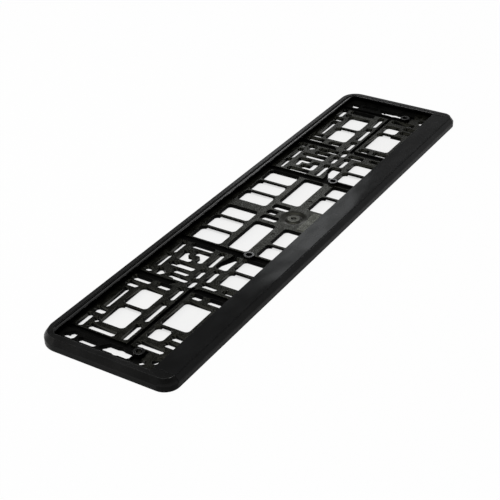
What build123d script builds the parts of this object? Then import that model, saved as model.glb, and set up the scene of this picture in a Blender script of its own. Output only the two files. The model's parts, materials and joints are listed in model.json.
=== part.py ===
"""Number plate holder: a moulded base tray and the clip-in strip that closes its lower edge.

Frame: X runs along the plate, +Y to its upper edge, +Z out of the face. The holder lies on
its back, with the origin at the middle of the back face. All sizes are in millimetres.
"""
import os
from math import atan2, degrees, tan, radians

from build123d import *

# The plate that the holder is made for, and the play around its edges
plate_length = 520.0
plate_height = 112.0
plate_play = 1.0

# Levels above the back face
deck_thickness = 3.6
deck_top = 4.0
boss_rise = 2.5
plate_slot = 1.9
lip_thickness = 1.9

# Section of the rim on the three closed sides
rim_width = 5.0
rim_wall = 2.2
upper_corner_radius = 20.0
lower_corner_radius = 12.8
shoulder_height = 5.2
bevel_inset = 3.6
bead_width = 4.5
bead_step = 0.6
side_lip = 4.6
top_lip = 6.8
lip_corner_radius = 4.0
edge_round = 0.7

# The clip-in strip on the lower side
strip_foot = 13.2
strip_cover = 9.9
strip_wall = 2.0
strip_seat = 4.5
strip_end_inset = 12.5
strip_ledge = 0.7
end_gap = 0.3

# Snap hooks of the strip and their slots in the deck
hook_count = 8
hook_pitch = 64.0
hook_width = 10.0
hook_leg = 2.0
hook_barb = 0.9
hook_barb_height = 0.8
hook_from_stop = 5.1
hook_root = 0.6
hook_play = 0.3
hook_room = 1.5
hook_grip = 2.2
hook_slack = 0.15

# Lattice: openings, and the bars that part them, which are thinner than the deck
slot_corner = 1.6
window_radius = 3.6
hook_radius = 2.0
keyhole_radius = 5.6
land = 2.0
bar_width = 2.4
bar_thickness = 2.4
bar_relief = 0.5

# Sunk troughs between the zones of the lattice
trough_wall = 1.5
trough_floor = 1.4
trough_end = 4.5
trough_lean = 5.5
upper_trough_end = 13.0
lower_trough_end = -7.5
recess_length = 10.5
recess_above = 2.0
recess_below = 6.0
recess_radius = 2.0
branch_overlap = 0.5

# Widths of the zones along the half length, from the middle outwards
middle_inner = 5.9
middle_outer = 72.3
inner_trough_width = 6.4
key_zone = 48.0
key_gap = 1.2
column_width = 8.4
outer_trough_width = 6.0
corner_trough_width = 4.8
corner_zone = 23.4
end_rail_width = 7.2

# Rows across the deck, lower and upper edge
tall_row = (16.4, 49.2)
top_row = (43.0, 48.6)
window_row = (13.2, 37.4)
slot_row = (1.5, 7.8)
long_row = (-11.5, 10.4)
under_row = (-35.2, -7.2)
cross_trough_row = (-4.6, -1.4)
strip_run_under = 5.0
deck_margin = 8.0

# Screw bosses
boss_radius = 4.8
screw_hole = 5.5
boss_level = -17.5
corner_boss_from_rim = 22.6

# Shallow dish round the moulding gate, and the raised step below it
dish_radius = 13.5
dish_depth = 1.5
dish_ring_radius = 8.5
dish_hub_radius = 5.6
dish_hub_drop = 0.5
dish_dimple_radius = 2.4
dish_dimple_drop = 1.2
dish_level = -18.0
step_half = 16.5
step_top = -30.6
step_low = -50.0
step_rise = 0.5

# Marks of the ejector pins beside the dish, each with flat sides
pin_radius = 1.7
pin_sides = 8
pin_depth = 0.6
pin_at = 34.0
pin_level = -16.2

# Overall sizes that follow from the plate
length = plate_length + 2 * (plate_play + rim_width)
width = rim_width + plate_play + plate_height + plate_play + strip_foot
half = length / 2
top_y = width / 2
boss_top = deck_top + boss_rise
lip_under = boss_top + plate_slot
rim_top = lip_under + lip_thickness
deck_under = deck_top - deck_thickness
bevel_angle = degrees(atan2(bevel_inset, rim_top - shoulder_height))
pocket_half = half - rim_width
pocket_top = top_y - rim_width
lip_half = pocket_half - side_lip
lip_top_y = pocket_top - top_lip
stop_y = -top_y + strip_foot
strip_edge_y = stop_y + strip_cover
strip_half = half - strip_end_inset
hook_y = stop_y - hook_from_stop
hook_ledge = deck_top - hook_grip
deck_low = stop_y + strip_run_under
deck_high = pocket_top - deck_margin

# Stations that follow from the zones
inner_trough = middle_outer + trough_wall
key_start = inner_trough + inner_trough_width + trough_wall
key_end = key_start + key_zone
column_start = key_end + key_gap
outer_trough = column_start + column_width + trough_wall
outer_start = outer_trough + outer_trough_width + trough_wall
corner_trough = pocket_half - corner_zone - corner_trough_width
outer_end = corner_trough - trough_wall
end_rail = outer_end - end_rail_width
corner_start = corner_trough + corner_trough_width + trough_wall
inner_boss_at = inner_trough + inner_trough_width / 2
corner_boss_at = pocket_half - corner_boss_from_rim

# Stations that the windows and their thin bars share
long_inner = 20.2
low_inner = 19.8
low_top = -21.0
tall_bars = (27.0, 49.8)
low_bar = 49.6
key_low_width = 44.7
key_low_top = -16.2
key_low_bar = 21.6
outer_first = outer_start + 11.1
outer_last = end_rail - 5.2
outer_bar = (outer_first + outer_last) / 2
under_bar = outer_bar + 9.7
under_step = -23.8


def span(x0, x1, y0, y1, radius):
    """Rounded rectangle between two opposite corners; the corners never meet."""
    corner = min(radius, 0.49 * min(x1 - x0, y1 - y0))
    return Pos((x0 + x1) / 2, (y0 + y1) / 2) * RectangleRounded(x1 - x0, y1 - y0, corner)


def slot(x0, x1, y0, y1):
    """Small opening with its corners cut off."""
    plan = Pos((x0 + x1) / 2, (y0 + y1) / 2) * Rectangle(x1 - x0, y1 - y0)
    return chamfer(plan.vertices(), length=min(slot_corner, 0.4 * min(x1 - x0, y1 - y0)))


def window(x0, x1, y0, y1):
    """Large opening with rounded corners."""
    return span(x0, x1, y0, y1, window_radius)


def polygon(*points):
    """Filled outline through the given points."""
    return make_face(Polyline(*points, close=True))


def split_window(x0, x1, y0, y1, bars):
    """Row of windows parted by bars at the given places."""
    edges = [x0]
    for x in bars:
        edges += [x - bar_width / 2, x + bar_width / 2]
    edges.append(x1)
    return [window(start, end, y0, y1) for start, end in zip(edges[::2], edges[1::2])]


def both_sides(part):
    """The part together with its mirror image on the other half of the holder."""
    return part + mirror(part, about=Plane.YZ)


def block(sketch, bottom, top):
    """Sketch raised into a solid between two levels."""
    return extrude(Pos(0, 0, bottom) * sketch, amount=top - bottom)


def middle_openings():
    """Windows on one half of the middle zone."""
    return [
        *split_window(middle_inner, middle_outer, *tall_row, tall_bars),
        window(long_inner, middle_outer - 0.7, *long_row),
        *split_window(low_inner, middle_outer - 0.5, deck_low, low_top, [low_bar]),
        slot(6.6, 15.2, -7.0, 10.4),
    ]


def key_openings():
    """Slots and hooked openings between the inner trough and the narrow column."""
    x = key_start
    hook_upper = slot(x + 19.4, x + 28.4, 23.4, 37.8) + slot(x + 11.8, x + 28.4, 31.0, 37.8)
    hook_lower = slot(x + 7.8, x + 16.2, 12.8, 28.4) + slot(x + 7.8, x + 25.8, 12.8, 20.4)
    stepped = slot(x + 30.4, x + 39.3, 12.8, 33.6) + slot(x + 33.2, x + 39.3, 28.0, 39.2)
    fan = polygon((x + 2.5, -12.6), (x + 24.8, -12.6), (x + 24.8, -1.0), (x + 15.6, -1.4), (x + 2.5, -7.6))
    return [
        slot(x + 0.6, x + 21.4, *top_row),
        slot(x + 22.9, x + 45.8, *top_row),
        slot(x - 0.5, x + 6.4, 14.0, 38.4),
        hook_upper,
        hook_lower,
        stepped,
        slot(x + 40.6, x + key_zone, 12.4, 29.6),
        slot(x + 1.1, x + 26.7, *slot_row),
        slot(x + 31.3, x + 46.6, *slot_row),
        slot(x + 27.0, x + 47.3, -10.2, -3.6),
        fillet(fan.vertices(), radius=hook_radius),
        *split_window(x, x + key_low_width, deck_low, key_low_top, [x + key_low_bar]),
    ]


def column_openings():
    """Openings in the narrow column beside the outer trough."""
    x = column_start
    wide = x + column_width - 0.6
    drop = polygon((x - 4.5, 41.0), (wide, 42.0), (wide, 35.0), (x + 3.0, 31.0))
    return [
        slot(x + 0.8, wide, 44.6, deck_high),
        fillet(drop.vertices(), radius=hook_radius),
        slot(x + 0.4, wide, 7.4, 22.0) + slot(x, wide - 1.4, 18.0, 29.6),
        span(x - 1.6, wide + 4.6, -1.4, 5.6, window_radius),
        slot(x - 0.8, wide - 1.4, -21.6, -5.0),
        slot(x + 0.8, wide - 1.4, deck_low + 1.5, -27.6),
    ]


def outer_openings():
    """Windows and slots between the outer trough and the corner trough."""
    x0 = outer_start
    x1 = outer_end
    rail = x0 + 7.4
    last = outer_last
    return [
        slot(x0, rail, 33.6, deck_high),
        slot(x0, rail, 13.6, 28.0),
        slot(x0, rail, -18.6, -7.2),
        slot(x0, rail, deck_low + 1.5, -23.0),
        slot(rail + land, rail + land + 7.6, 40.0, deck_high),
        slot(rail + 11.2, last - 19.0, *top_row),
        slot(last - 17.0, last - 8.8, 40.2, deck_high - 1.4),
        slot(last - 3.8, last + 2.6, 37.2, 43.6),
        slot(last - 6.8, x1, 45.8, deck_high - 0.4),
        *split_window(outer_first, last, *window_row, [outer_bar]),
        slot(x0 - 2.6, outer_first + 6.6, *slot_row),
        slot(outer_first + 11.4, last - 17.6, *slot_row),
        slot(last - 13.0, x1 - 1.6, *slot_row),
        window(outer_first, under_bar - bar_width / 2, *under_row),
        window(under_bar + bar_width / 2, last - 1.2, under_step, under_row[1]),
        slot(under_bar + 5.6, under_bar + 12.6, deck_low + 1.5, -26.6),
        slot(under_bar + 15.4, under_bar + 22.4, deck_low + 1.5, -26.6),
        slot(end_rail, x1, 14.0, 42.0),
        slot(end_rail, x1, -33.6, -7.4),
    ]


def corner_openings():
    """Openings between the corner trough and the short rim."""
    x = corner_start
    rim = x + 11.6
    oblique = Pos(x, -36.4) * Rot(0, 0, 30) * slot(-5.5, 5.5, -2.8, 2.8)
    keyhole = slot(x + 0.4, rim - 1.8, -14.2, 11.6) + Pos(x + 5.1, -1.5) * Circle(keyhole_radius)
    keyhole += Pos(x + 5.5, 11.6) * Rot(0, 0, 47) * slot(-5.2, 5.2, -2.0, 2.0)
    return [
        slot(x + 0.4, rim - 1.4, 40.2, 47.8) + slot(x + 4.2, rim - 1.4, 40.2, 51.8),
        slot(x + 4.2, rim - 1.2, 18.6, 36.8),
        keyhole,
        slot(rim, rim + 6.6, -7.0, 23.0),
        slot(rim, rim + 6.6, 30.0, 38.0),
        slot(x + 4.2, x + 10.6, -28.8, -22.4),
        oblique,
    ]


def trough_branch(grow):
    """Plan of the sunk branch that leaves the inner trough along the fan-shaped opening."""
    root = key_start - trough_wall - branch_overlap
    x = key_start
    edge = [(root, -4.6), (x + 2.3, -4.4), (x + 8.3, -3.0), (x + 16.3, -0.4), (x + 22.8, -0.2)]
    edge += [(x + 22.8, -2.6), (x + 15.6, -2.6), (x + 2.5, -8.4), (root, -9.8)]
    plan = polygon(*edge)
    return offset(plan, grow, kind=Kind.INTERSECTION) if grow else plan


def trough_outlines(grow):
    """Plan of the sunk troughs on one half, grown by the given wall."""
    low = stop_y - grow
    high = pocket_top - trough_end + grow
    inner = (inner_trough - grow, inner_trough + inner_trough_width + grow)
    outer = (outer_trough - grow, outer_trough + outer_trough_width + grow)
    corner = (corner_trough - grow, corner_trough + corner_trough_width + grow)
    cross = (cross_trough_row[0] - grow, cross_trough_row[1] + grow)
    upper_end = upper_trough_end - grow
    lower_end = lower_trough_end + grow
    near, far = outer
    upper = polygon((near, upper_end), (far, upper_end + trough_lean), (far, high), (near, high))
    lower = polygon((near, low), (far, low), (far, lower_end + trough_lean), (near, lower_end))
    recess = span(corner[0], corner_boss_at + recess_length + grow, boss_level - recess_below - grow,
                  boss_level + recess_above + grow, recess_radius)
    straight = [
        (*inner, low, high),
        (outer_trough, corner[1], *cross),
        (*corner, boss_level, high),
    ]
    plan = upper + lower + recess + trough_branch(grow)
    for x0, x1, y0, y1 in straight:
        plan += Pos((x0 + x1) / 2, (y0 + y1) / 2) * Rectangle(x1 - x0, y1 - y0)
    return plan


def outline(inset):
    """Plan of the holder, drawn in by the given distance; the upper corners are the rounder ones."""
    plan = Rectangle(length - 2 * inset, width - 2 * inset)
    plan = fillet(plan.vertices().group_by(Axis.Y)[-1], radius=upper_corner_radius - inset)
    return fillet(plan.vertices().group_by(Axis.Y)[0], radius=lower_corner_radius - inset)


def base_shell():
    """Rim, lips and plain deck, before the lattice is cut."""
    plan = outline(0)
    shell = block(plan, 0, shoulder_height)
    shell += extrude(Pos(0, 0, shoulder_height) * plan, amount=rim_top - shoulder_height, taper=bevel_angle)
    shell = fillet(shell.edges().group_by(Axis.Z)[-1], radius=edge_round)

    hollow = outline(rim_wall)
    inner_shoulder = shoulder_height - rim_wall * tan(radians(bevel_angle / 2))
    shell -= block(hollow, deck_top, inner_shoulder)
    shell -= extrude(Pos(0, 0, inner_shoulder) * hollow, amount=lip_under - inner_shoulder, taper=bevel_angle)
    shell -= block(hollow, -1, deck_under)

    opening = span(-lip_half, lip_half, strip_edge_y - lip_corner_radius, lip_top_y, lip_corner_radius)
    opening -= Pos(0, strip_edge_y - lip_corner_radius) * Rectangle(length, 2 * lip_corner_radius)
    shell -= block(opening, lip_under - 1, rim_top + 1)
    strip_run = Pos(0, strip_edge_y - width / 2) * Rectangle(length, width)
    sunk_lip = outline(bevel_inset + bead_width) - strip_run
    shell -= block(sunk_lip, rim_top - bead_step, rim_top + 1)

    seat_half = strip_half + end_gap
    seat = Pos(0, (strip_edge_y - top_y) / 2 - 1) * Rectangle(2 * seat_half, strip_edge_y + top_y + 2)
    return shell - block(seat, strip_seat, rim_top + 1)


def lattice_cutter():
    """Every opening of the deck, as one set of cutting prisms."""
    half_plan = Sketch() + middle_openings() + key_openings() + column_openings()
    half_plan = half_plan + outer_openings() + corner_openings()
    cutter = both_sides(block(half_plan, -1, deck_top + 1))
    return cutter + block(slot(-3.6, 3.6, -0.6, 10.4), -1, deck_top + 1)


def bar_undersides():
    """Cut behind the bars between the windows, which leaves them thinner than the deck, on one half."""
    bars = [(x, *tall_row) for x in tall_bars]
    bars += [
        (low_bar, deck_low, low_top),
        (key_start + key_low_bar, deck_low, key_low_top),
        (outer_bar, *window_row),
        (under_bar, under_step, under_row[1]),
    ]
    plan = Sketch()
    for x, y0, y1 in bars:
        run = y1 - y0 - 2 * window_radius
        plan += Pos(x, (y0 + y1) / 2) * Rectangle(bar_width + 2 * bar_relief, run)
    return block(plan, -1, deck_top - bar_thickness)


def hook_positions():
    """Places of the snap hooks along the strip."""
    first = -hook_pitch * (hook_count - 1) / 2
    return [first + i * hook_pitch for i in range(hook_count)]


def hook_slots():
    """Openings in the deck for the snap hooks, with a pocket behind each for its barb."""
    depth = hook_leg + hook_barb + 2 * hook_play
    middle = hook_y - hook_barb / 2
    slots = Sketch()
    pockets = Sketch()
    for x in hook_positions():
        slots += Pos(x, middle) * Rectangle(hook_width + 2 * hook_play, depth)
        pockets += Pos(x, middle) * Rectangle(hook_width + 2 * hook_room, depth + 2 * hook_room)
    return block(slots, -1, deck_top + 1) + block(pockets, -1, hook_ledge)


def boss(x):
    """Screw boss that stands from the back face to just under the plate."""
    return block(Pos(x, boss_level) * Circle(boss_radius), 0, boss_top)


def gate_dish():
    """Cutter for the shallow dish with a low hub and a dimple, where the moulding was fed."""
    section = [
        (0, deck_top + 1),
        (0, deck_top - dish_dimple_drop),
        (dish_dimple_radius, deck_top - dish_dimple_drop),
        (dish_dimple_radius, deck_top - dish_hub_drop),
        (dish_hub_radius, deck_top - dish_hub_drop),
        (dish_ring_radius, deck_top - dish_depth),
        (dish_radius, deck_top),
        (dish_radius, deck_top + 1),
    ]
    return Pos(0, dish_level, 0) * revolve(Plane.XZ * polygon(*section), axis=Axis.Z)


def gate_step():
    """Low raised step between the dish and the strip."""
    plan = Pos(0, (step_top + step_low) / 2) * Rectangle(2 * step_half, step_top - step_low)
    return block(plan, deck_top - 1, deck_top + step_rise)


def pin_mark():
    """Shallow mark of an ejector pin."""
    mark = Pos(pin_at, pin_level) * RegularPolygon(pin_radius, pin_sides)
    return block(mark, deck_top - pin_depth, deck_top + 1)


def build_base_tray():
    """One moulding: rim, lips, lattice deck, troughs and screw bosses."""
    tray = base_shell()
    tray += both_sides(block(trough_outlines(trough_wall), 0, deck_top))
    tray -= both_sides(block(trough_outlines(0), trough_floor, deck_top + 1))
    tray += gate_step()
    tray -= lattice_cutter()
    tray -= both_sides(bar_undersides())
    tray -= hook_slots()
    tray -= gate_dish()
    tray -= both_sides(pin_mark())
    places = [side * at for side in (-1, 1) for at in (inner_boss_at, corner_boss_at)]
    for x in places:
        tray += boss(x)
    for x in places:
        tray -= Pos(x, boss_level, 0) * Cylinder(screw_hole / 2, 4 * boss_top)
    return tray


def strip_profile():
    """Section of the strip across the holder: cover, bevel, foot and plate stop."""
    outer = -top_y
    slope = tan(radians(bevel_angle))
    ledge_y = outer + bevel_inset - strip_ledge * slope
    inner_shoulder = shoulder_height - strip_wall * tan(radians(bevel_angle / 2))
    return [
        (outer, strip_seat),
        (outer, shoulder_height),
        (ledge_y, rim_top - strip_ledge),
        (ledge_y + strip_ledge, rim_top - strip_ledge),
        (ledge_y + strip_ledge, rim_top),
        (strip_edge_y, rim_top),
        (strip_edge_y, lip_under),
        (stop_y, lip_under),
        (stop_y, deck_top),
        (stop_y - strip_wall, deck_top),
        (stop_y - strip_wall, lip_under),
        (outer + strip_wall + (lip_under - inner_shoulder) * slope, lip_under),
        (outer + strip_wall, inner_shoulder),
        (outer + strip_wall, strip_seat),
    ]


def snap_hook():
    """Leg and barb of one hook, in the YZ plane at the middle of the strip."""
    top = lip_under + hook_root
    barb_top = hook_ledge - hook_slack
    barb_low = barb_top - hook_barb_height
    outer = hook_y - hook_leg / 2
    section = [
        (outer, top),
        (outer, barb_top),
        (outer - hook_barb, barb_top),
        (outer, barb_low),
        (outer + hook_leg, barb_low),
        (outer + hook_leg, top),
    ]
    return extrude(Plane.YZ * polygon(*section), amount=hook_width / 2, both=True)


def build_retaining_strip():
    """Clip-in strip that holds the lower edge of the plate."""
    strip = extrude(Plane.YZ * polygon(*strip_profile()), amount=strip_half, both=True)
    hook = snap_hook()
    for x in hook_positions():
        strip += Pos(x, 0, 0) * hook
    return strip


def main():
    """Build both pieces and write one STEP file for each."""
    os.makedirs("parts", exist_ok=True)
    export_step(build_base_tray(), "parts/base_tray.step")
    export_step(build_retaining_strip(), "parts/retaining_strip.step")


main()
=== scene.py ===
"""Looks of the number plate holder: its moulded finishes, the studio and the camera.

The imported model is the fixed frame. Each moulded piece is shown by a merged copy of its node with
softened edges, dressed in procedural finishes. All lengths are in metres, in the frame of the solids:
X along the plate, +Y to its upper edge, +Z out of its face.
"""
from __future__ import annotations

import json
import logging
import math
from dataclasses import dataclass, field
from enum import Enum
from typing import Union

import bmesh
import bpy
from mathutils import Matrix, Vector

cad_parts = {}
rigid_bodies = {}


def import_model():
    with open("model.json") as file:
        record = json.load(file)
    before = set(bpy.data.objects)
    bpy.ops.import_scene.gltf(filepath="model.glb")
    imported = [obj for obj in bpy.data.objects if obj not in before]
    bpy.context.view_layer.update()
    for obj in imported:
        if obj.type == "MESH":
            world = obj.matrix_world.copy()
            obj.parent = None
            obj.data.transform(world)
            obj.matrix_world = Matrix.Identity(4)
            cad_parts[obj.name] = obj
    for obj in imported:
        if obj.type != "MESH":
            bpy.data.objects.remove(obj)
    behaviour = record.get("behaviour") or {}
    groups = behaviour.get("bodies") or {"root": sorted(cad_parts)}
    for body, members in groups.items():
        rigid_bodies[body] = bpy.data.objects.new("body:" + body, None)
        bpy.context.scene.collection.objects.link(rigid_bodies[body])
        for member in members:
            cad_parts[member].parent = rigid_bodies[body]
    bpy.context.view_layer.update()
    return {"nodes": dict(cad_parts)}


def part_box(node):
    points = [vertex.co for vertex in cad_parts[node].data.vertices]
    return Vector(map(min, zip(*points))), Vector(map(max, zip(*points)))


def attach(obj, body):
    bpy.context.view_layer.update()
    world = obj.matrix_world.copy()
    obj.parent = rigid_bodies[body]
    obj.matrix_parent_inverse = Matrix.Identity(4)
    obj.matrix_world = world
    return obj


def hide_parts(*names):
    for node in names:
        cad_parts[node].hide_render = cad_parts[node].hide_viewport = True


LOG = logging.getLogger("plate_holder")
IMAGE_SIDE = 500.0
SENSOR_WIDTH = 36.0

Colour = tuple[float, float, float]
Point = tuple[float, float, float]
Feed = Union[float, tuple[float, ...], bpy.types.NodeSocket]

WHITE = (1.0, 1.0, 1.0, 1.0)
WARM_SHEEN: Colour = (1.0, 1.0, 0.78)
AXIS_X: Point = (1.0, 0.0, 0.0)
AXIS_Y: Point = (0.0, 1.0, 0.0)
AXIS_Z: Point = (0.0, 0.0, 1.0)

# Range that most of a noise texture's values fall in
NOISE_LOW = 0.3
NOISE_HIGH = 0.7

# Places of the colour sockets on a Mix node
FIRST_COLOUR = 6
SECOND_COLOUR = 7
MIXED_COLOUR = 2


class Grain(Enum):
    """How a moulded surface was finished in the tool."""

    SATIN = "satin"
    SPARK = "spark"


class Ray(Enum):
    """Light path outputs that see the plain white backdrop, each with its share of it."""

    CAMERA = ("Is Camera Ray", 1.0)
    GLOSSY = ("Is Glossy Ray", 0.7)
    TRANSMISSION = ("Is Transmission Ray", 1.0)


class NodeBoard:
    """Small helper that adds and links shader nodes in one tree."""

    def __init__(self, tree: bpy.types.NodeTree) -> None:
        """Start with an empty tree.

        Args:
            tree: The node tree of a material or of the world.
        """
        self.tree = tree
        self.tree.nodes.clear()

    def feed(self, socket: bpy.types.NodeSocket, value: Feed) -> None:
        """Link an input to an output, or set the input's own value.

        Args:
            socket: The input.
            value: An output socket, or a plain value.
        """
        if isinstance(value, bpy.types.NodeSocket):
            self.tree.links.new(value, socket)
        else:
            socket.default_value = value

    def add(self, kind: str, settings: dict[str, str] | None = None, **inputs: Feed) -> bpy.types.Node:
        """Add a node, set its properties and fill its inputs.

        Args:
            kind: Blender's name of the node type, without the ShaderNode prefix.
            settings: Properties of the node itself.
            inputs: Values or output sockets for its inputs; an underscore stands for a space.

        Returns:
            The new node.
        """
        node = self.tree.nodes.new("ShaderNode" + kind)
        for name, value in (settings or {}).items():
            setattr(node, name, value)
        for name, value in inputs.items():
            self.feed(node.inputs[name.replace("_", " ")], value)
        return node

    def math(self, operation: str, first: Feed, second: Feed) -> bpy.types.NodeSocket:
        """Add a math node.

        Args:
            operation: Name of the operation, such as MAXIMUM.
            first: Value or socket of the first operand.
            second: Value or socket of the second operand.

        Returns:
            The result's socket.
        """
        node = self.add("Math", {"operation": operation})
        for socket, value in zip(node.inputs, (first, second)):
            self.feed(socket, value)
        return node.outputs["Value"]

    def remap(self, value: bpy.types.NodeSocket, low: float, high: float) -> bpy.types.NodeSocket:
        """Spread a noise value over a range.

        Args:
            value: Socket of the noise.
            low: Result at the lower end of the noise.
            high: Result at its upper end.

        Returns:
            The remapped socket.
        """
        node = self.add(
            "MapRange", Value=value, From_Min=NOISE_LOW, From_Max=NOISE_HIGH, To_Min=low, To_Max=high)
        return node.outputs["Result"]

    def blend(self, share: Feed, first: bpy.types.NodeSocket,
              second: bpy.types.NodeSocket) -> bpy.types.NodeSocket:
        """Blend two shaders.

        Args:
            share: Share of the second shader.
            first: Shader that is seen at a share of 0.
            second: Shader that is seen at a share of 1.

        Returns:
            The blended shader's socket.
        """
        mix = self.add("MixShader", Fac=share)
        for socket, shader in zip(mix.inputs[1:], (first, second)):
            self.feed(socket, shader)
        return mix.outputs["Shader"]


@dataclass(frozen=True)
class PlasticFinish:
    """Black moulded plastic: mottled colour, uneven gloss, fine grain and slow waviness."""

    name: str
    dark: Colour
    light: Colour
    gloss: tuple[float, float]
    specular: float
    sheen_tone: Colour = (1.0, 1.0, 1.0)
    grain: Grain = Grain.SATIN
    grain_size: float = 0.0010
    grain_depth: float = 0.00002
    grain_detail: float = 2.0
    wave_size: float = 0.05
    wave_depth: float = 0.0003
    wave_detail: float = 1.0
    flow_stretch: float = 3.0
    mottle_size: float = 0.018
    mottle_detail: float = 3.0
    mottle_roughness: float = 0.55

    def material(self) -> bpy.types.Material:
        """Make the node material.

        Returns:
            The finished material, which reads Object coordinates only.
        """
        material = bpy.data.materials.new(self.name)
        material.use_nodes = True
        board = NodeBoard(material.node_tree)
        place = board.add("TexCoord").outputs["Object"]
        stretch = (1.0 / self.flow_stretch, 1.0, 1.0)
        flow = board.add("Mapping", Vector=place, Scale=stretch).outputs["Vector"]
        mottle = board.add(
            "TexNoise", Vector=flow, Scale=1.0 / self.mottle_size, Detail=self.mottle_detail,
            Roughness=self.mottle_roughness).outputs["Fac"]
        shader = board.add(
            "BsdfPrincipled", Base_Color=self._colour(board, mottle),
            Roughness=board.remap(mottle, *self.gloss), Specular_IOR_Level=self.specular,
            Specular_Tint=(*self.sheen_tone, 1.0), Normal=self._relief(board, place, flow))
        board.add("OutputMaterial", Surface=shader.outputs["BSDF"])
        return material

    def _colour(self, board: NodeBoard, mottle: bpy.types.NodeSocket) -> bpy.types.NodeSocket:
        """Blend the two tones of the plastic.

        Args:
            board: The material's node board.
            mottle: Noise value that drives the blend.

        Returns:
            The colour socket.
        """
        tones = board.add("Mix", {"data_type": "RGBA"}, Factor=board.remap(mottle, 0.0, 1.0))
        tones.inputs[FIRST_COLOUR].default_value = (*self.dark, 1.0)
        tones.inputs[SECOND_COLOUR].default_value = (*self.light, 1.0)
        return tones.outputs[MIXED_COLOUR]

    def _relief(self, board: NodeBoard, place: bpy.types.NodeSocket,
                flow: bpy.types.NodeSocket) -> bpy.types.NodeSocket:
        """Stack the slow waviness and the fine grain of the tool.

        Args:
            board: The material's node board.
            place: Object coordinates.
            flow: Object coordinates stretched along the flow of the melt.

        Returns:
            The bumped normal.
        """
        wave = board.add("TexNoise", Vector=flow, Scale=1.0 / self.wave_size, Detail=self.wave_detail)
        swell = board.add("Bump", Height=wave.outputs["Fac"], Strength=1.0, Distance=self.wave_depth)
        density = 1.0 / self.grain_size
        if self.grain is Grain.SPARK:
            pits = board.add("TexVoronoi", Vector=place, Scale=density).outputs["Distance"]
        else:
            noise = board.add("TexNoise", Vector=place, Scale=density, Detail=self.grain_detail)
            pits = noise.outputs["Fac"]
        grain = board.add(
            "Bump", Height=pits, Strength=1.0, Distance=self.grain_depth, Normal=swell.outputs["Normal"])
        return grain.outputs["Normal"]


RIM_FINISH = PlasticFinish(
    name="rim_satin_black", dark=(0.0065, 0.0065, 0.0065), light=(0.0095, 0.0095, 0.0092),
    gloss=(0.20, 0.30), specular=0.11, grain_size=0.0011)
TOP_FINISH = PlasticFinish(
    name="top_satin_black", dark=(0.0060, 0.0060, 0.0059), light=(0.0088, 0.0088, 0.0085),
    gloss=(0.20, 0.30), specular=0.28, grain_size=0.0011)
WALL_FINISH = PlasticFinish(
    name="wall_satin_black", dark=(0.0045, 0.0045, 0.0045), light=(0.0066, 0.0066, 0.0064),
    gloss=(0.26, 0.38), specular=0.060, grain_size=0.0011)
LIP_FINISH = PlasticFinish(
    name="lip_polished_black", dark=(0.0030, 0.0030, 0.0028), light=(0.0046, 0.0046, 0.0043),
    gloss=(0.14, 0.18), specular=1.00, grain_depth=0.000003, wave_size=0.03, wave_depth=0.00005)
END_FINISH = PlasticFinish(
    name="end_polished_black", dark=(0.0026, 0.0026, 0.0025), light=(0.0042, 0.0042, 0.0040),
    gloss=(0.14, 0.22), specular=0.60, wave_size=0.03, wave_depth=0.0002)
DECK_FINISH = PlasticFinish(
    name="deck_spark_black", dark=(0.0013, 0.0013, 0.0010), light=(0.0060, 0.0059, 0.0047),
    gloss=(0.18, 0.36), specular=0.25, sheen_tone=WARM_SHEEN, grain=Grain.SPARK, grain_size=0.0016,
    grain_depth=0.00007, wave_size=0.012, flow_stretch=1.5, mottle_size=0.005)
# Dark, dull finish that paints shade on trough floors and walls, the lands beside the troughs, the upper
# end zones, the lip's groove and its step
PAINTED_SHADE_FINISH = PlasticFinish(
    name="trough_painted_shade_black", dark=(0.0020, 0.0020, 0.0019), light=(0.0042, 0.0041, 0.0038),
    gloss=(0.40, 0.55), specular=0.02, grain_size=0.0012, grain_depth=0.00003, wave_size=0.02,
    wave_depth=0.0002)
BOSS_FINISH = PlasticFinish(
    name="boss_worn_black", dark=(0.0020, 0.0020, 0.0019), light=(0.0045, 0.0045, 0.0043),
    gloss=(0.10, 0.16), specular=0.75, grain_size=0.0008, wave_size=0.01, wave_depth=0.0001)
GATE_FINISH = PlasticFinish(
    name="gate_polished_black", dark=(0.0050, 0.0050, 0.0043), light=(0.0110, 0.0110, 0.0095),
    gloss=(0.18, 0.34), specular=0.62, sheen_tone=WARM_SHEEN, grain_depth=0.00003, wave_size=0.006,
    flow_stretch=1.0, mottle_size=0.006)
BOWL_FINISH = PlasticFinish(
    name="bowl_satin_black", dark=(0.0040, 0.0040, 0.0034), light=(0.0085, 0.0085, 0.0072),
    gloss=(0.24, 0.36), specular=0.25, sheen_tone=WARM_SHEEN, grain_depth=0.00003, wave_size=0.012)
STRIP_FINISH = PlasticFinish(
    name="strip_satin_black", dark=(0.0088, 0.0090, 0.0091), light=(0.0118, 0.0121, 0.0124),
    gloss=(0.12, 0.20), specular=0.10, grain_size=0.0012, wave_size=0.022, wave_depth=0.0007,
    flow_stretch=2.0)


def split(bm: bmesh.types.BMesh, faces: list[bmesh.types.BMFace], place: Point, normal: Point) -> None:
    """Cut some of a mesh's faces along a plane.

    Args:
        bm: The mesh.
        faces: The faces to cut.
        place: A point of the plane.
        normal: The plane's normal.
    """
    borders = [part for face in faces for part in (*face.edges, *face.verts)]
    parts = list(dict.fromkeys([*faces, *borders]))
    bmesh.ops.bisect_plane(bm, geom=parts, plane_co=place, plane_no=normal)


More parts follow.
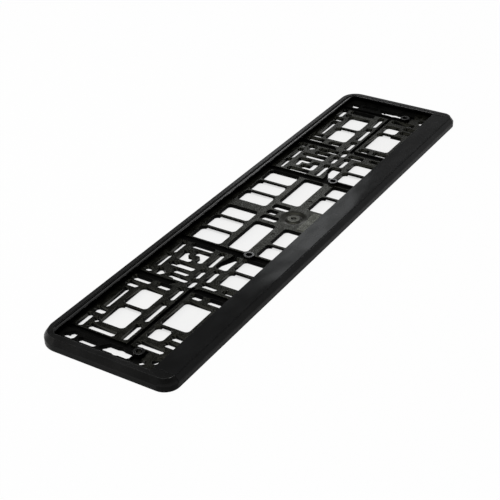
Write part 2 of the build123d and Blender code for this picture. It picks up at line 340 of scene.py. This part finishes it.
@dataclass
class MouldedPiece:
    """A moulded node of the frame, shown by a merged copy with softened edges."""

    node: str
    name: str
    slot: str
    finishes: tuple[PlasticFinish, ...]
    body: str = "root"
    weld: float = 2e-6
    sharp_angle: float = math.radians(28.0)
    shading_angle: float = math.radians(40.0)
    edge_round: float = 0.0003
    edge_segments: int = 2
    flats_weight: int = 100
    shape: bpy.types.Object = field(init=False)
    low: Vector = field(init=False)
    high: Vector = field(init=False)

    def build(self, solid: bpy.types.Object) -> None:
        """Copy the node's mesh, weld it, round its sharp edges and add its fine forms.

        Args:
            solid: The node's object in the frame.
        """
        self.low, self.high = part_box(self.node)
        mesh = bpy.data.meshes.new(self.name)
        bm = bmesh.new()
        bm.from_mesh(solid.data)
        bmesh.ops.remove_doubles(bm, verts=bm.verts, dist=self.weld)
        sharp = [edge for edge in bm.edges if edge.calc_face_angle(0.0) > self.sharp_angle]
        bmesh.ops.bevel(
            bm, geom=[edge for edge in sharp if self.softens(edge)], offset=self.edge_round,
            offset_type="OFFSET", affect="EDGES", segments=self.edge_segments, profile=0.5, material=-1,
            clamp_overlap=False, face_strength_mode="AFFECTED")
        self.detail(bm)
        bmesh.ops.dissolve_degenerate(bm, dist=self.weld, edges=bm.edges)
        bm.to_mesh(mesh)
        bm.free()
        mesh.set_sharp_from_angle(angle=self.shading_angle)
        self.shape = bpy.data.objects.new(self.name, mesh)
        self._lead_by_flats()
        bpy.context.scene.collection.objects.link(self.shape)
        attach(self.shape, self.body)
        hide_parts(self.node)

    def _lead_by_flats(self) -> None:
        """Let the flat faces set the shading, so that only the softened edges turn the light."""
        flats = self.shape.modifiers.new("flats_lead", "WEIGHTED_NORMAL")
        flats.mode = "FACE_AREA_WITH_ANGLE"
        flats.weight = self.flats_weight
        flats.keep_sharp = True
        flats.use_face_influence = True

    def dress(self) -> None:
        """Give every face its finish."""
        mesh = self.shape.data
        mesh.materials.clear()
        for finish in self.finishes:
            mesh.materials.append(finish.material())
        numbers = {finish.name: number for number, finish in enumerate(self.finishes)}
        for face in mesh.polygons:
            face.use_smooth = True
            face.material_index = numbers[self.finish_of(face).name]

    def softens(self, edge: bmesh.types.BMEdge) -> bool:
        """Whether a sharp edge is rounded."""
        return True

    def detail(self, bm: bmesh.types.BMesh) -> None:
        """Add the piece's fine forms to the softened copy; a plain piece has none."""

    def finish_of(self, face: bpy.types.MeshPolygon) -> PlasticFinish:
        """Finish of one face; a plain piece has only one."""
        return self.finishes[0]


@dataclass(frozen=True)
class Rail:
    """Narrow land along one side of a trough, given the same painted shade as the trough."""

    edge: float
    gap: tuple[float, float] = (0.0, 0.0)
    width: float = 0.0016
    overlap: float = 0.0001

    def covers(self, x: float, y: float) -> bool:
        """Whether a point of the deck lies on the land.

        Args:
            x: Place along the plate.
            y: Place across the plate.

        Returns:
            True on the land, outside its gap.
        """
        beside = self.edge - self.width < x < self.edge + self.overlap
        return beside and not self.gap[0] < y < self.gap[1]


@dataclass
class BaseTray(MouldedPiece):
    """Rim, lips and lattice deck in one moulding."""

    node: str = "base_tray"
    name: str = "tray"
    slot: str = "tray_plastic"
    finishes: tuple[PlasticFinish, ...] = (
        RIM_FINISH, TOP_FINISH, WALL_FINISH, LIP_FINISH, END_FINISH, DECK_FINISH, PAINTED_SHADE_FINISH,
        BOSS_FINISH, GATE_FINISH, BOWL_FINISH)

    # Heights above the back face
    wall_foot: float = 0.0011
    trough_limit: float = 0.0019
    shoulder: float = 0.0050
    boss_floor: float = 0.0060
    deck_limit: float = 0.0068
    lip_band: tuple[float, float] = (0.0090, 0.00975)
    lip_top: float = 0.0097
    step_band: tuple[float, float] = (0.00975, 0.01022)
    fillet_band: tuple[float, float] = (0.01000, 0.01029)
    level_slack: float = 0.00003

    # Upward share of a face's normal
    steep: float = 0.5
    flat: float = 0.99

    # Places in plan
    rim_reach: float = 0.0055
    lip_inset: float = 0.0079
    end_rim: float = 0.2585
    middle_reach: float = 0.0820
    # The upper end zones and the lands beside the troughs get painted shade
    corner_zone: tuple[float, float] = (0.2376, -0.0235)
    rails: tuple[Rail, ...] = (
        Rail(-0.2376, (-0.0661, -0.0160)), Rail(-0.1468, (-0.0020, 0.0185)), Rail(-0.0802),
        Rail(0.0738), Rail(0.1408, (-0.0075, 0.0130)), Rail(0.2328, (-0.0661, -0.0160)))
    rail_reach: float = 0.03

    # Dish round the moulding gate, with the step below it
    gate_centre: tuple[float, float] = (0.0, -0.018)
    gate_radius: float = 0.0137
    hub_band: tuple[float, float] = (0.0027, 0.0058)
    gate_half: float = 0.0170
    gate_low: float = -0.0300

    # Fine forms of the copy
    groove_edge: float = 0.0562
    groove_depth: float = 0.0006
    underside: tuple[float, float] = (0.0003, 0.0005)
    foot_drop: float = 0.00035
    crisp_corner: tuple[float, float] = (0.2545, -0.0535)

    def softens(self, edge: bmesh.types.BMEdge) -> bool:
        """Leave the edges crisp on the underside and in the two rim corners beside the strip.

        Args:
            edge: A sharp edge of the merged copy.

        Returns:
            False when the edge lies on the underside or ends in one of the corners.
        """
        if all(vert.co.z < self.underside[1] for vert in edge.verts):
            return False
        reach, level = self.crisp_corner
        return not any(abs(vert.co.x) > reach and vert.co.y < level for vert in edge.verts)

    def detail(self, bm: bmesh.types.BMesh) -> None:
        """Lower the deck's underside, sink the lip's groove and cut the deck where its painted shade
        ends.

        Args:
            bm: The softened copy.
        """
        self._lower_underside(bm)
        self._sink_groove(bm)
        for rail in self.rails:
            self._cut_deck(bm, rail.edge, (rail.edge - rail.width, 0.0, 0.0), AXIS_X)
            for level in rail.gap:
                self._cut_deck(bm, rail.edge, (0.0, level, 0.0), AXIS_Y)
        reach, level = self.corner_zone
        for edge in (-reach, reach):
            self._cut_deck(bm, edge, (0.0, level, 0.0), AXIS_Y)

    def _lower_underside(self, bm: bmesh.types.BMesh) -> None:
        """Draw the walls of the deck's openings down to just above the floor.

        Args:
            bm: The softened copy.
        """
        low, high = self.underside
        under = [vert for vert in bm.verts if low < vert.co.z < high]
        bmesh.ops.translate(bm, verts=under, vec=(0.0, 0.0, -self.foot_drop))

    def _sink_groove(self, bm: bmesh.types.BMesh) -> None:
        """Sink the narrow groove that runs along the upper lip, beside the bead.

        Args:
            bm: The softened copy.
        """
        lip = [face for face in bm.faces if self._on_lip(face)]
        split(bm, lip, (0.0, self.groove_edge, 0.0), AXIS_Y)
        lip = [face for face in bm.faces if self._on_lip(face)]
        groove = [face for face in lip if face.calc_center_median().y > self.groove_edge]
        sunk = bmesh.ops.extrude_face_region(bm, geom=groove)["geom"]
        floor = [part for part in sunk if isinstance(part, bmesh.types.BMVert)]
        bmesh.ops.translate(bm, verts=floor, vec=(0.0, 0.0, -self.groove_depth))
        bmesh.ops.delete(bm, geom=[face for face in groove if face.is_valid], context="FACES")

    def _cut_deck(self, bm: bmesh.types.BMesh, edge: float, place: Point, normal: Point) -> None:
        """Split the flat faces of the deck near a trough, so that the painted shade can end there.

        Args:
            bm: The softened copy.
            edge: Place of the trough along the plate.
            place: A point of the cutting plane.
            normal: The plane's normal.
        """
        deck = [face for face in bm.faces if self._on_deck(face)]
        near = [f for f in deck if any(abs(vert.co.x - edge) < self.rail_reach for vert in f.verts)]
        split(bm, near, place, normal)

    def _on_deck(self, face: bmesh.types.BMFace) -> bool:
        """Whether a face lies flat on the deck."""
        level = face.calc_center_median().z
        return face.normal.z > self.flat and self.trough_limit < level < self.boss_floor

    def _on_lip(self, face: bmesh.types.BMFace) -> bool:
        """Whether a face lies flat on the sunk lip."""
        level = face.calc_center_median().z
        return face.normal.z > self.flat and abs(level - self.lip_top) < self.level_slack

    def finish_of(self, face: bpy.types.MeshPolygon) -> PlasticFinish:
        """Pick a face's finish by its place: on the lip, on the rim or on the deck.

        Args:
            face: A face of the softened copy.

        Returns:
            One of the piece's finishes.
        """
        return self._lip_finish(*face.center) or self._rim_finish(*face.center) or self._deck_finish(face)

    def _lip_finish(self, x: float, y: float, z: float) -> PlasticFinish | None:
        """Finish of the sunk lip, with painted shade in its groove and on the step up to the rim.

        Args:
            x: Place along the plate.
            y: Place across the plate.
            z: Height above the back face.

        Returns:
            The finish, or None away from the lip.
        """
        # Painted shade on the groove's floor
        if y > self.groove_edge and self.lip_band[0] < z < self.lip_top - self.level_slack:
            return PAINTED_SHADE_FINISH
        if self._within(x, y, self.lip_inset) and self.lip_band[0] < z < self.lip_band[1]:
            return LIP_FINISH
        # Painted shade on the step's wall
        if self._within(x, y, self.rim_reach) and self.step_band[0] < z < self.step_band[1]:
            return PAINTED_SHADE_FINISH
        return None

    def _rim_finish(self, x: float, y: float, z: float) -> PlasticFinish | None:
        """Finish of the rim: tops, rounded long edges, slopes and outer walls.

        Args:
            x: Place along the plate.
            y: Place across the plate.
            z: Height above the back face.

        Returns:
            The finish, or None inside the rim.
        """
        fillet_foot, fillet_top = self.fillet_band
        outside = not self._within(x, y, self.rim_reach)
        if z > fillet_top and abs(x) > self.end_rim:
            return END_FINISH
        if outside and abs(x) < self.end_rim and fillet_foot < z < fillet_top:
            return LIP_FINISH
        if z > fillet_top and y > self.groove_edge:
            return TOP_FINISH
        if outside or z > self.deck_limit:
            return WALL_FINISH if z < self.shoulder else RIM_FINISH
        return None

    def _deck_finish(self, face: bpy.types.MeshPolygon) -> PlasticFinish:
        """Finish of the deck: boss rings, gate, bowl, painted shade on the troughs and the sparked
        lattice.

        Args:
            face: A face inside the rim.

        Returns:
            The finish.
        """
        x, y, z = face.center
        if z > self.boss_floor:
            return BOSS_FINISH
        from_gate = math.hypot(x - self.gate_centre[0], y - self.gate_centre[1])
        on_hub = self.hub_band[0] < from_gate < self.hub_band[1]
        on_step = abs(x) < self.gate_half and y < self.gate_low
        if on_hub or on_step:
            return GATE_FINISH
        if from_gate < self.gate_radius:
            return BOWL_FINISH
        # Painted shade on troughs, the lands beside them, the upper end zones and shaded walls
        return PAINTED_SHADE_FINISH if self._in_painted_shade(face) else DECK_FINISH

    def _in_painted_shade(self, face: bpy.types.MeshPolygon) -> bool:
        """Whether a face gets the painted shade of a trough.

        Args:
            face: A face of the deck.

        Returns:
            True in a trough, on the land beside it, in the upper end zones and on shaded walls.
        """
        x, y, z = face.center
        in_corner = abs(x) > self.corner_zone[0] and y > self.corner_zone[1]
        if z < self.trough_limit or in_corner or any(rail.covers(x, y) for rail in self.rails):
            return True
        foot = min(self.shape.data.vertices[corner].co.z for corner in face.vertices)
        shaded = abs(x) < self.middle_reach or foot > self.wall_foot
        return shaded and abs(face.normal.z) < self.steep

    def _within(self, x: float, y: float, inset: float) -> bool:
        """Whether a point lies inside the plan drawn in by a distance.

        Args:
            x: Place along the plate.
            y: Place across the plate.
            inset: Distance from the outline.

        Returns:
            True inside.
        """
        along = self.low.x + inset < x < self.high.x - inset
        return along and self.low.y + inset < y < self.high.y - inset


@dataclass
class RetainingStrip(MouldedPiece):
    """Strip that clips over the lower edge of the plate."""

    node: str = "retaining_strip"
    name: str = "strip"
    slot: str = "strip_plastic"
    finishes: tuple[PlasticFinish, ...] = (STRIP_FINISH,)


@dataclass
class Floor:
    """Pale seamless floor that keeps the object's shadow."""

    half_side: float = 6.0
    drop: float = 0.00005
    colour: Colour = (0.90, 0.90, 0.895)
    open_share: float = 0.97
    under_share: float = 0.60
    under_half: tuple[float, float] = (0.25, 0.058)
    shape: bpy.types.Object = field(init=False)

    def build(self) -> None:
        """Lay the floor just under the object."""
        mesh = bpy.data.meshes.new("floor")
        bm = bmesh.new()
        bmesh.ops.create_grid(bm, x_segments=1, y_segments=1, size=self.half_side)
        bmesh.ops.translate(bm, verts=bm.verts, vec=(0.0, 0.0, -self.drop))
        bm.to_mesh(mesh)
        bm.free()
        self.shape = bpy.data.objects.new("floor", mesh)
        bpy.context.scene.collection.objects.link(self.shape)

    def dress(self) -> None:
        """Paint the floor pale, and lift it to white for rays that see the backdrop."""
        material = bpy.data.materials.new("floor_paper")
        material.use_nodes = True
        board = NodeBoard(material.node_tree)
        paper = board.add("BsdfDiffuse", Color=(*self.colour, 1.0)).outputs["BSDF"]
        white = board.add("Emission", Color=WHITE, Strength=1.0).outputs["Emission"]
        share = board.math("MULTIPLY", seen_backdrop(board), self._share(board))
        board.add("OutputMaterial", Surface=board.blend(share, paper, white))
        self.shape.data.materials.append(material)

    def _share(self, board: NodeBoard) -> bpy.types.NodeSocket:
        """Share of the white lift, lower under the object so that its openings stay shaded.

        Args:
            board: Node board of the floor.

        Returns:
            The socket of the share.
        """
        place = board.add("SeparateXYZ", Vector=board.add("TexCoord").outputs["Object"])
        under: Feed = self.open_share - self.under_share
        for axis, reach in zip("XY", self.under_half):
            away = board.math("ABSOLUTE", place.outputs[axis], 0.0)
            under = board.math("MULTIPLY", board.math("LESS_THAN", away, reach), under)
        return board.math("SUBTRACT", self.open_share, under)


def seen_backdrop(board: NodeBoard, sweep: Feed = 1.0) -> Feed:
    """Mask of the rays that see the plain backdrop.

    Args:
        board: Node board of the floor or of the world.
        sweep: Value or socket that fades the backdrop for glossy rays.

    Returns:
        A socket with the share of the backdrop that camera, glossy and transmission rays see.
    """
    path = board.add("LightPath")
    mask: Feed = 0.0
    for ray in Ray:
        output, share = ray.value
        seen = board.math("MULTIPLY", path.outputs[output], share)
        if ray is Ray.GLOSSY:
            seen = board.math("MULTIPLY", seen, sweep)
        mask = board.math("MAXIMUM", mask, seen)
    return mask


@dataclass(frozen=True)
class SoftBox:
    """One soft lamp aimed at a point of the object."""

    name: str
    place: Point
    size: tuple[float, float]
    power: float
    target: Point = (0.0, 0.0, 0.0)
    colour: Colour = (1.0, 1.0, 1.0)

    def hang(self) -> None:
        """Put the lamp in the scene."""
        lamp = bpy.data.lights.new(self.name, "AREA")
        lamp.shape = "RECTANGLE"
        lamp.size, lamp.size_y = self.size
        lamp.energy = self.power
        lamp.color = self.colour
        holder = bpy.data.objects.new(self.name, lamp)
        aim = Vector(self.target) - Vector(self.place)
        turn = aim.to_track_quat("-Z", "Y").to_matrix().to_4x4()
        holder.matrix_world = Matrix.Translation(self.place) @ turn
        bpy.context.scene.collection.objects.link(holder)


@dataclass
class Studio:
    """Soft lamps, dim room and a white backdrop whose sweep fades with height."""

    room_light: float = 0.10
    sweep_low: float = math.radians(6.0)
    sweep_high: float = math.radians(33.0)
    lamps: tuple[SoftBox, ...] = (
        SoftBox("back_softbox", (1.12, 0.63, 0.775), (0.24, 0.20), 0.38, colour=(0.96, 0.985, 1.0)),
        SoftBox("edge_light", (1.25, -0.06, 1.16), (0.5, 0.12), 1.2, target=(0.05, 0.0, 0.0)),
        SoftBox("rim_light", (1.33, 0.90, 0.25), (0.9, 0.2), 0.6, target=(0.05, 0.0, 0.0)),
        SoftBox("top_softbox", (-0.15, 0.25, 1.60), (1.6, 1.2), 20.0),
        SoftBox("side_softbox", (-0.90, 1.20, 0.70), (0.9, 0.5), 5.0, colour=(1.0, 0.985, 0.95)),
    )

    def build(self) -> None:
        """Hang the lamps and set the world."""
        for lamp in self.lamps:
            lamp.hang()
        world = bpy.data.worlds.new("studio")
        bpy.context.scene.world = world
        world.use_nodes = True
        board = NodeBoard(world.node_tree)
        room = board.add("Background", Color=WHITE, Strength=self.room_light).outputs["Background"]
        backdrop = board.add("Background", Color=WHITE, Strength=1.0).outputs["Background"]
        outward = board.add("TexCoord").outputs["Generated"]
        height = board.add("SeparateXYZ", Vector=outward).outputs["Z"]
        sweep = board.add(
            "MapRange", Value=height, From_Min=math.sin(self.sweep_low),
            From_Max=math.sin(self.sweep_high), To_Min=1.0, To_Max=0.0).outputs["Result"]
        sky = board.blend(seen_backdrop(board, sweep), room, backdrop)
        board.add("OutputWorld", Surface=sky)
        bpy.context.scene.view_settings.view_transform = "Standard"


@dataclass(frozen=True)
class PhotoCamera:
    """Camera at the viewing angle of the photograph; angles in degrees, pixels of its square frame."""

    azimuth: float = -58.833
    elevation: float = 32.396
    roll: float = -0.926
    distance: float = 1.0925
    focal_pixels: float = 1167.8
    origin_pixel: tuple[float, float] = (277.05, 217.06)
    axis_pixel: tuple[float, float] = (282.6, 257.4)
    clip: tuple[float, float] = (0.01, 50.0)

    def build(self) -> None:
        """Put the camera in the scene and make it the active one."""
        turn, lift, roll = (math.radians(a) for a in (self.azimuth, self.elevation, self.roll))
        away = math.cos(lift)
        back = Vector((math.sin(turn) * away, -math.cos(turn) * away, math.sin(lift)))
        level = Vector(AXIS_Z).cross(back).normalized()
        right = Matrix.Rotation(roll, 3, back) @ level
        up = back.cross(right)
        metres = self.distance / self.focal_pixels
        across = (self.origin_pixel[0] - self.axis_pixel[0]) * metres
        down = (self.origin_pixel[1] - self.axis_pixel[1]) * metres
        holder = bpy.data.objects.new("photo_camera", self._lens())
        stand = Matrix.Translation(back * self.distance - right * across + up * down)
        holder.matrix_world = stand @ Matrix((right, up, back)).transposed().to_4x4()
        bpy.context.scene.collection.objects.link(holder)
        bpy.context.scene.camera = holder

    def _lens(self) -> bpy.types.Camera:
        """Make the lens, shifted so that its axis meets the photograph's own axis pixel.

        Returns:
            The camera data.
        """
        lens = bpy.data.cameras.new("photo_camera")
        lens.sensor_width = SENSOR_WIDTH
        lens.lens = self.focal_pixels / IMAGE_SIDE * SENSOR_WIDTH
        lens.shift_x = (IMAGE_SIDE / 2 - self.axis_pixel[0]) / IMAGE_SIDE
        lens.shift_y = (self.axis_pixel[1] - IMAGE_SIDE / 2) / IMAGE_SIDE
        lens.clip_start, lens.clip_end = self.clip
        return lens


def main() -> None:
    """Load the frame, dress its pieces and set up the studio."""
    logging.basicConfig(level=logging.INFO, format="%(name)s: %(message)s")
    for leftover in list(bpy.data.objects):
        bpy.data.objects.remove(leftover)
    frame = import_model()
    for piece in (BaseTray(), RetainingStrip()):
        piece.build(frame["nodes"][piece.node])
        piece.dress()
        LOG.info("%s: %d faces, shows %s", piece.name, len(piece.shape.data.polygons), piece.node)
    floor = Floor()
    floor.build()
    floor.dress()
    LOG.info("floor laid")
    Studio().build()
    LOG.info("studio lit")
    PhotoCamera().build()
    LOG.info("camera placed")


if __name__ == "__main__":
    main()
